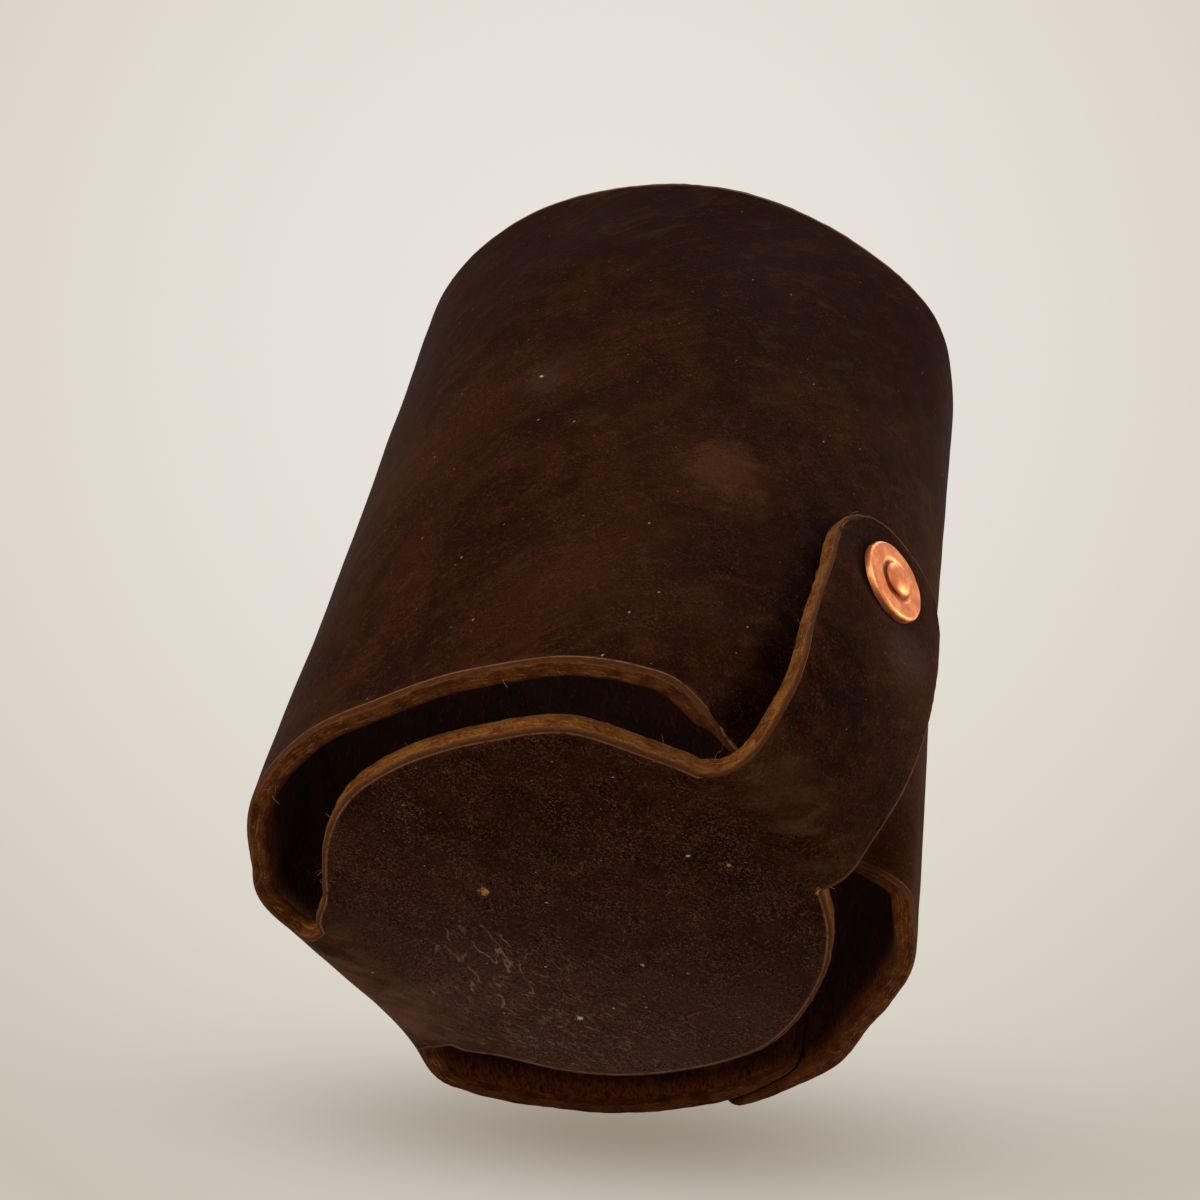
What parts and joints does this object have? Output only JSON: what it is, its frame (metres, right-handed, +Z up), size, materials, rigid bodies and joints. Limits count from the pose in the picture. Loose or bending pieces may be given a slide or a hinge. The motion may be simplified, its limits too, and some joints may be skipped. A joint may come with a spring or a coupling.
{
  "type": "leather can cooler",
  "caption": "Thick leather sleeve for a drinks can, cut with its round base and strap in one piece, wrapped to a lapped seam and closed by copper rivets and burrs.",
  "frame": {"origin": "centre of the round base's underside, on the can's axis", "axes": "+Z up along the can's axis; -Y towards the riveted strap, +Y towards the neck that joins base and sleeve, +X towards the lapped seam"},
  "size_m": [0.0749, 0.0763, 0.0902],
  "materials": {
    "leather": "waxed dark brown leather with a dull sheen",
    "copper": "polished copper"
  },
  "bodies": {
    "root": {"leather_body": "leather", "strap_rivet": "copper", "strap_burr": "copper", "seam_1_rivet": "copper", "seam_1_burr": "copper", "seam_2_rivet": "copper", "seam_2_burr": "copper", "seam_3_rivet": "copper", "seam_3_burr": "copper"}
  },
  "joints": []
}
